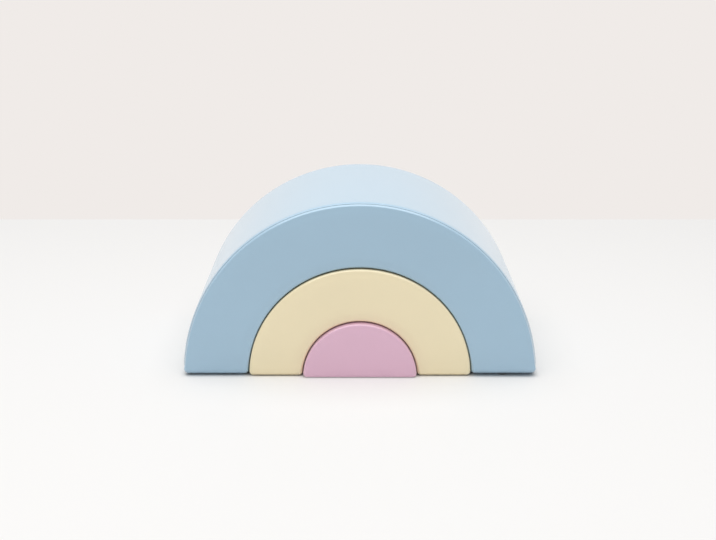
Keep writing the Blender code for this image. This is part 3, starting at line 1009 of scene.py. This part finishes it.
def leather_group():
    """Shared look of the leather-cloth: pebble grain, clouds of tone and gloss, and painted shade in the
    seams.
    """
    tree, given, output = new_tree(
        "leather_cloth",
        "ShaderNodeTree",
        {"Color": ["Colour"], "Vector": ["Coordinates"], "Float": ["Seam", "Grain", "Roughness"]},
        {"Color": ["Colour"], "Float": ["Roughness", "Height"]},
    )
    place = given["Coordinates"]
    pebbles = {"Vector": place, "Scale": given["Grain"], "Randomness": 0.9}
    edge = socket(tree, "ShaderNodeTexVoronoi", pebbles, "Distance", feature="DISTANCE_TO_EDGE")
    crease = ranged(tree, edge, top=0.18, kind="SMOOTHSTEP")
    cloud = noise(tree, place, scale=7.0, detail=3.0)
    crease_tone, crease_gloss, cloud_gloss, fine_grain = 0.02, 0.04, 0.08, 0.25
    # Clouds of tone, and the colour 2% darker in the grain's creases.
    tone = math_node(tree, "SUBTRACT", ranged(tree, cloud, low=0.975, high=1.02), crease_tone)
    crease_darkened_tone = math_node(tree, "MULTIPLY_ADD", crease, crease_tone, tone)
    # Painted shade in the seam grooves: the colour is 40% darker at a seam and plain 1 mm from it.
    sewn = ranged(tree, given["Seam"], low=0.6, high=1.0, top=0.0010, kind="SMOOTHSTEP")
    gloss = math_node(tree, "SUBTRACT", given["Roughness"], cloud_gloss / 2)
    gloss = math_node(tree, "MULTIPLY_ADD", cloud, cloud_gloss, gloss)
    grain = noise(tree, place, scale=2400.0, detail=2.0)
    # The base colour carries the painted seam shade.
    look = {
        "Colour": toned(tree, given["Colour"], math_node(tree, "MULTIPLY", crease_darkened_tone, sewn)),
        "Roughness": math_node(tree, "MULTIPLY_ADD", crease, -crease_gloss, gloss),
        "Height": math_node(tree, "MULTIPLY_ADD", grain, fine_grain, crease),
    }
    feed(tree, output, look)
    return tree


def weave_group():
    """Shared look of woven thread: over and under along X and Y, with uneven yarns, and painted shade where
    the weave lies low.
    """
    tree, given, output = new_tree(
        "woven_thread",
        "ShaderNodeTree",
        {"Vector": ["Coordinates"], "Float": ["Yarns"]},
        {"Float": ["Height", "Shade"]},
    )
    split = new_node(tree, "ShaderNodeSeparateXYZ", {0: given["Coordinates"]}).outputs
    angle = math_node(tree, "MULTIPLY", given["Yarns"], math.pi)
    across, down = (math_node(tree, "SINE", math_node(tree, "MULTIPLY", split[axis], angle)) for axis in "XY")
    cross = math_node(tree, "ABSOLUTE", math_node(tree, "MULTIPLY", across, down))
    uneven = noise(tree, given["Coordinates"], scale=given["Yarns"], detail=2.0)
    unevenness = 0.4
    height = math_node(tree, "MULTIPLY_ADD", uneven, unevenness, cross)
    # Painted shade where the weave lies low between the yarns, together with the yarns' own uneven tone.
    shade = ranged(tree, height, low=0.72, high=1.05, top=1 + unevenness)
    feed(tree, output, {"Height": height, "Shade": shade})
    return tree


def new_material(name):
    """The tree, the shader and the object coordinates of a new finish."""
    material = bpy.data.materials.new(f"{name}_finish")
    material.use_nodes = True
    tree = material.node_tree
    shader = next(node for node in tree.nodes if node.type == "BSDF_PRINCIPLED")
    return tree, shader, socket(tree, "ShaderNodeTexCoord", {}, "Object")


def leather_material(name, colour, finish, group):
    tree, shader, place = new_material(name)
    inputs = {
        "Colour": (*colour, 1.0),
        "Coordinates": place,
        "Seam": socket(tree, "ShaderNodeAttribute", {}, "Fac", attribute_name="seam"),
        "Grain": finish.grain,
        "Roughness": finish.gloss,
    }
    cloth = new_node(tree, "ShaderNodeGroup", inputs, node_tree=group).outputs
    look = {
        "Base Color": cloth["Colour"],
        "Roughness": cloth["Roughness"],
        "Sheen Weight": finish.sheen,
        "Sheen Roughness": 0.4,
        "Coat Weight": finish.lacquer,
        "Coat Roughness": 0.22,
        "Normal": bump(tree, cloth["Height"], strength=0.25, distance=0.0002),
    }
    feed(tree, shader, look)


def woven_material(name, colour, group, yarns, roughness, strength, distance):
    """Zip tape or sewing thread, with this many yarns in a metre."""
    tree, shader, place = new_material(name)
    weave = new_node(tree, "ShaderNodeGroup", {"Yarns": yarns, "Coordinates": place}, node_tree=group).outputs
    # The colour carries the weave's painted shade and its yarns' uneven tone.
    look = {
        "Base Color": toned(tree, (*colour, 1.0), weave["Shade"]),
        "Roughness": roughness,
        "Normal": bump(tree, weave["Height"], strength, distance),
    }
    feed(tree, shader, look)


def foam_material(finish):
    tree, shader, place = new_material("foam")
    cells = socket(tree, "ShaderNodeTexVoronoi", {"Vector": place, "Scale": 900.0}, "Distance")
    mottle = 0.06
    # Painted shade in the pores: the foam's colour darkens into the pit that the bump sinks at each cell, and
    # the noise adds a mottle of tone.
    pore_shade = math_node(tree, "SUBTRACT", ranged(tree, cells, low=0.72, high=1.04), mottle / 2)
    shade = math_node(tree, "MULTIPLY_ADD", noise(tree, place, scale=30.0, detail=3.0), mottle, pore_shade)
    look = {
        "Base Color": toned(tree, (*finish.foam, 1.0), shade),
        "Roughness": 0.95,
        "Normal": bump(tree, cells, strength=0.6, distance=0.0006),
    }
    feed(tree, shader, look)


def coil_material(finish):
    tree, shader, place = new_material("zip_coil")
    uneven = noise(tree, place, scale=500.0, detail=2.0)
    colour = toned(tree, (*finish.coil, 1.0), ranged(tree, uneven, low=0.92, high=1.05))
    feed(tree, shader, {"Base Color": colour, "Roughness": ranged(tree, uneven, low=0.34, high=0.5)})


def slider_material(finish):
    tree, shader, place = new_material("zip_slider")
    stretch = socket(tree, "ShaderNodeMapping", {"Vector": place, "Scale": (4.0, 0.4, 1.0)})
    scratch = noise(tree, stretch, scale=900.0, detail=4.0)
    look = {
        "Base Color": toned(tree, (*finish.slider, 1.0), ranged(tree, scratch, low=0.8, high=1.1)),
        "Roughness": ranged(tree, scratch, low=0.28, high=0.5),
        "Metallic": 1.0,
        "Normal": bump(tree, scratch, strength=0.15, distance=0.0001),
    }
    feed(tree, shader, look)


def background_seen(tree):
    """1 where the camera, a reflection or a clear piece sees the background, and 0 where it gives light."""
    path = new_node(tree, "ShaderNodeLightPath", {}).outputs
    seen = math_node(tree, "MAXIMUM", path["Is Camera Ray"], path["Is Glossy Ray"])
    return math_node(tree, "MAXIMUM", seen, path["Is Transmission Ray"])


def floor_material(stage):
    """A pale floor, clear from below, that glows where it is seen away from the blocks' shadow."""
    tree, shader, place = new_material("floor")
    cloud = noise(tree, place, scale=2.0, detail=3.0)
    shade = ranged(tree, cloud, low=0.992, high=1.008)
    feed(tree, shader, {"Base Color": toned(tree, (*stage.floor, 1.0), shade), "Roughness": 0.65})
    low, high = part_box("middle_arch_front_panel")[0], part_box("large_arch_rear_panel")[1]
    split = new_node(tree, "ShaderNodeSeparateXYZ", {0: place}).outputs
    beside = math_node(tree, "SUBTRACT", math_node(tree, "ABSOLUTE", split["X"]), high.x)
    before = math_node(tree, "SUBTRACT", low.y, split["Y"])
    behind = math_node(tree, "SUBTRACT", split["Y"], high.y)
    outside = math_node(tree, "MAXIMUM", beside, math_node(tree, "MAXIMUM", before, behind))
    away = ranged(tree, outside, high=stage.floor_glow, top=stage.glow_fade, kind="SMOOTHSTEP")
    seen = math_node(tree, "MULTIPLY", background_seen(tree), away)
    glow = socket(tree, "ShaderNodeEmission", {"Color": (*stage.glow, 1.0), "Strength": 1.0})
    lit = mixed_shader(tree, seen, shader.outputs[0], glow)
    under = socket(tree, "ShaderNodeNewGeometry", {}, "Backfacing")
    clear = socket(tree, "ShaderNodeBsdfTransparent", {})
    end = next(node for node in tree.nodes if node.type == "OUTPUT_MATERIAL")
    feed(tree, end, {"Surface": mixed_shader(tree, under, lit, clear)})


def set_world(stage):
    """Even light all round, with the wall's colour where the camera or a reflection sees past the floor."""
    world = bpy.data.worlds.new("studio")
    bpy.context.scene.world = world
    world.use_nodes = True
    tree = world.node_tree
    tree.nodes.clear()
    lights = ((1.0, 1.0, 1.0), stage.sky), (stage.wall, 1.0), (stage.mirrored_wall, 1.0)
    sky, wall, white = (
        socket(tree, "ShaderNodeBackground", {"Color": (*colour, 1.0), "Strength": strength})
        for colour, strength in lights
    )
    camera = socket(tree, "ShaderNodeLightPath", {}, "Is Camera Ray")
    backdrop = mixed_shader(tree, camera, white, wall)
    both = mixed_shader(tree, background_seen(tree), sky, backdrop)
    new_node(tree, "ShaderNodeOutputWorld", {"Surface": both})


# Operators


class RAINBOW_OT_stage(bpy.types.Operator):
    """Makes the floor, the light and the camera"""

    bl_idname = "rainbow.stage"
    bl_label = "Stage"

    def execute(self, context):
        stage = context.scene.rainbow_stage
        reach = stage.floor_reach
        columns = np.linspace(-reach, reach, FLOOR_GRID[0])
        rows = np.linspace(-reach, stage.floor_back, FLOOR_GRID[1])
        x, y = np.meshgrid(columns, rows, indexing="ij")
        points = np.stack((x, y, np.full_like(x, -stage.floor_drop)), axis=-1).reshape(-1, 3)
        mesh = plain_mesh("floor", points, quads(np.arange(x.size).reshape(x.shape)))
        floor_material(stage)
        mesh.materials.append(finish_of("floor"))
        linked_object("floor", mesh)
        set_world(stage)
        lamp = bpy.data.lights.new("soft_lamp", "AREA")
        lamp.energy = stage.lamp
        lamp.size = stage.lamp_size
        linked_object("soft_lamp", lamp).location = (-stage.lamp_left, -stage.lamp_forward, stage.lamp_height)
        camera = bpy.data.cameras.new("camera")
        camera.lens = stage.lens
        eye = linked_object("camera", camera)
        eye.location = stage.eye
        eye.rotation_euler = (math.pi / 2 - stage.pitch, 0.0, 0.0)
        context.scene.camera = eye
        context.scene.view_settings.view_transform = "Standard"
        return {"FINISHED"}


class RAINBOW_OT_materials(bpy.types.Operator):
    """Makes the finishes of the covers, the foam and the zips"""

    bl_idname = "rainbow.materials"
    bl_label = "Materials"

    def execute(self, context):
        finish = context.scene.rainbow_finish
        leather, weave = leather_group(), weave_group()
        for slot, colour in zip(LEATHER_SLOTS.values(), (finish.blue, finish.yellow, finish.pink)):
            leather_material(slot, colour, finish, leather)
            thread = slot.replace("leather", "thread")
            woven_material(thread, colour, weave, yarns=3600.0, roughness=0.6, strength=0.3, distance=0.0001)
        tape = {"yarns": 1700.0, "roughness": 0.85, "strength": 0.5, "distance": 0.0002}
        woven_material("zip_tape", finish.tape, weave, **tape)
        foam_material(finish)
        coil_material(finish)
        slider_material(finish)
        return {"FINISHED"}


class RAINBOW_OT_padding(bpy.types.Operator):
    """Simulates how the foam pads out each cover between its seams"""

    bl_idname = "rainbow.padding"
    bl_label = "Padding"

    def execute(self, context):
        for block in all_blocks(context):
            padding_mesh(block)
        return {"FINISHED"}


class RAINBOW_OT_foam_cores(bpy.types.Operator):
    """Makes the cut foam inside each cover"""

    bl_idname = "rainbow.foam_cores"
    bl_label = "Foam Cores"

    def execute(self, context):
        for block in all_blocks(context):
            mesh = foam_mesh(block)
            settle(mesh, block)
            core = finished_piece(f"{block.name}_foam_core", mesh, block.name, "foam", f"{block.name}_foam")
        return {"FINISHED"}


class RAINBOW_OT_end_panels(bpy.types.Operator):
    """Makes the front and rear panels, which roll over the foam's edges"""

    bl_idname = "rainbow.end_panels"
    bl_label = "Front and Rear Panels"

    def execute(self, context):
        for block in all_blocks(context):
            cut = (2 * (block.radius + block.edge), block.radius + 2 * block.edge)
            for node in ("front_panel", "rear_panel"):
                surface = end_panel_surface(block, node == "rear_panel")
                leather_piece(block, node, surface, block.cover.crown, cut, surface.area())
        return {"FINISHED"}


class RAINBOW_OT_bands(bpy.types.Operator):
    """Makes the bands over and under the curves"""

    bl_idname = "rainbow.bands"
    bl_label = "Bands"

    def execute(self, context):
        for block in all_blocks(context):
            outer = "outer_band" if block.arch else "band"
            crown = block.cover.band_crown
            band_piece(block, outer, block.outer_run(0.0, FINE), block.edge_kinds()[0], crown)
            if block.arch:
                band_piece(block, "inner_band", block.inner_run(0.0, FINE), "tight", crown)
        return {"FINISHED"}


class RAINBOW_OT_foot_panels(bpy.types.Operator):
    """Makes the panels under the feet, plain or split and hemmed beside the zip"""

    bl_idname = "rainbow.foot_panels"
    bl_label = "Foot Panels"

    def execute(self, context):
        for block in all_blocks(context):
            if block.arch:
                band_piece(block, "left_foot", block.left_foot_run(0.0, FINE), "foot", 0.0)
            depth = block.rear - block.front - 2 * block.edge
            for half, node in enumerate(block.halves):
                surface = hemmed_surface(block, half)
                leather_piece(block, node, surface, 0.0, (surface.area() / depth, depth))
        return {"FINISHED"}


class RAINBOW_OT_zip_tapes(bpy.types.Operator):
    """Makes the woven tapes of the zips"""

    bl_idname = "rainbow.zip_tapes"
    bl_label = "Zip Tapes"

    def execute(self, context):
        for block in all_blocks(context):
            for side, half in zip(block.sides, block.halves):
                node = f"{block.name}_zip_tape_{side}"
                mesh = tape_mesh(block, side, node)
                settle(mesh, block)
                wall = (block.zips.tape, 0.0)
                sheet_piece(block, f"{node}_weave", mesh, "zip_tape", node, wall)
        return {"FINISHED"}


class RAINBOW_OT_zip_coils(bpy.types.Operator):
    """Winds the coils of the zips, the turns of one between those of the other"""

    bl_idname = "rainbow.zip_coils"
    bl_label = "Zip Coils"

    def execute(self, context):
        zips = context.scene.rainbow_zips
        tree = coil_tree()
        for block in all_blocks(context):
            parted_from, parted_to = block.wedge_ends
            for index, side in enumerate(block.sides):
                node = f"{block.name}_zip_coil_{side}"
                low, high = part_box(node)
                facing = 1.0 if index else -1.0
                tape_edge = block.box(f"zip_tape_{side}")[1 - index].x
                far = abs(tape_edge - block.zip_x) + zips.coil_hold
                height = (high.z - low.z) / 2 - zips.wire
                phase = (1 + index) / 2  # the second coil's turns lie between the first one's
                lean = math.atan2(zips.turn_pitch / 2, 4 * height)  # of a turn, along the zip
                values = {
                    "Start": (
                        block.zip_x + facing * (far + zips.coil_slit) / 2,
                        low.y + zips.turn_pitch * phase,
                        (low.z + high.z) / 2,
                    ),
                    "Count": int((high.y - low.y) / zips.turn_pitch) - 1,
                    "Pitch": zips.turn_pitch,
                    "Reach": (far - zips.coil_slit) / 2 - zips.wire,
                    "Height": height,
                    "Lean": math.pi / 2 - lean,
                    "Wire": zips.wire,
                    "Parting": facing * zips.parting,
                    "Parted From": parted_from,
                    "Parted To": parted_to,
                    "Material": finish_of("zip_coil"),
                }
                repeated_piece(block, f"{node}_turns", tree, values, "zip_coil", node)
        return {"FINISHED"}


class RAINBOW_OT_zip_sliders(bpy.types.Operator):
    """Makes the cast sliders, with eased edges and a slim wedge"""

    bl_idname = "rainbow.zip_sliders"
    bl_label = "Zip Sliders"

    def execute(self, context):
        zips = context.scene.rainbow_zips
        for block in all_blocks(context):
            node = f"{block.name}_zip_slider"
            shape = bmesh.new()
            shape.from_mesh(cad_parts[node].data)
            bmesh.ops.remove_doubles(shape, verts=shape.verts, dist=CAST_MERGE)
            bmesh.ops.dissolve_limit(shape, angle_limit=CAST_FLAT, verts=shape.verts, edges=shape.edges)
            low, high = block.box(f"zip_coil_{block.sides[0]}")
            for vertex in shape.verts:
                inside = low.z - zips.parting < vertex.co.z < high.z + zips.parting
                aside = vertex.co.x - block.zip_x
                if inside and abs(aside) < zips.parting:
                    vertex.co.x = block.zip_x + min(max(aside, -zips.wedge), zips.wedge)
            mesh = bpy.data.meshes.new(f"{node}_cast")
            shape.to_mesh(mesh)
            shape.free()
            piece = finished_piece(f"{node}_cast", mesh, node, "zip_slider", node)
            ease = piece.modifiers.new("cast_edges", "BEVEL")
            ease.width = zips.cast_edge
            ease.segments = 2
            ease.limit_method = "ANGLE"
        return {"FINISHED"}


class RAINBOW_OT_hem_stitches(bpy.types.Operator):
    """Sews the hems to the zip tapes with two rows of topstitches"""

    bl_idname = "rainbow.hem_stitches"
    bl_label = "Hem Stitches"

    def execute(self, context):
        zips = context.scene.rainbow_zips
        tree = stitch_tree()
        for block in all_blocks(context):
            far = block.opening - block.zip_x + zips.stitch_inset
            margin = 2 * block.edge
            start = block.front + margin
            values = {
                "First Row": (block.zip_x - far, start, 0.0),
                "Second Row": (block.zip_x + far, start, 0.0),
                "Count": int((block.rear - block.front - 2 * margin) / zips.stitch_pitch),
                "Pitch": zips.stitch_pitch,
                "Length": zips.stitch,
                "Thread": zips.thread,
                "Material": finish_of(block.slot.replace("leather", "thread")),
            }
            repeated_piece(block, f"{block.name}_hem_stitches", tree, values, block.slot)
        return {"FINISHED"}


OPERATORS = (
    RAINBOW_OT_stage,
    RAINBOW_OT_materials,
    RAINBOW_OT_padding,
    RAINBOW_OT_foam_cores,
    RAINBOW_OT_end_panels,
    RAINBOW_OT_bands,
    RAINBOW_OT_foot_panels,
    RAINBOW_OT_zip_tapes,
    RAINBOW_OT_zip_coils,
    RAINBOW_OT_zip_sliders,
    RAINBOW_OT_hem_stitches,
)
SETTINGS = {
    "rainbow_cover": RainbowCoverSettings,
    "rainbow_zips": RainbowZipSettings,
    "rainbow_finish": RainbowFinishSettings,
    "rainbow_stage": RainbowStageSettings,
}


class RAINBOW_PT_sidebar(bpy.types.Panel):
    """Lists the pieces and their sizes"""

    bl_idname = "RAINBOW_PT_sidebar"
    bl_label = "Rainbow Soft Play Block"
    bl_space_type = "VIEW_3D"
    bl_region_type = "UI"
    bl_category = "Rainbow"

    def draw(self, context):
        for operator in OPERATORS:
            self.layout.operator(operator.bl_idname)
        for attribute, group in SETTINGS.items():
            column = self.layout.column(align=True)
            column.label(text=group.__doc__)
            for name in group.__annotations__:
                column.prop(getattr(context.scene, attribute), name)


CLASSES = (*SETTINGS.values(), *OPERATORS, RAINBOW_PT_sidebar)


def register():
    for item in CLASSES:
        bpy.utils.register_class(item)
    for attribute, group in SETTINGS.items():
        setattr(bpy.types.Scene, attribute, PointerProperty(type=group))


def unregister():
    for attribute in SETTINGS:
        delattr(bpy.types.Scene, attribute)
    for item in reversed(CLASSES):
        bpy.utils.unregister_class(item)


def main():
    register()
    bpy.ops.rainbow.stage()
    bpy.ops.rainbow.materials()
    bpy.ops.rainbow.padding()
    bpy.ops.rainbow.foam_cores()
    bpy.ops.rainbow.end_panels()
    bpy.ops.rainbow.bands()
    bpy.ops.rainbow.foot_panels()
    bpy.ops.rainbow.zip_tapes()
    bpy.ops.rainbow.zip_coils()
    bpy.ops.rainbow.zip_sliders()
    bpy.ops.rainbow.hem_stitches()


if __name__ == "__main__":
    main()
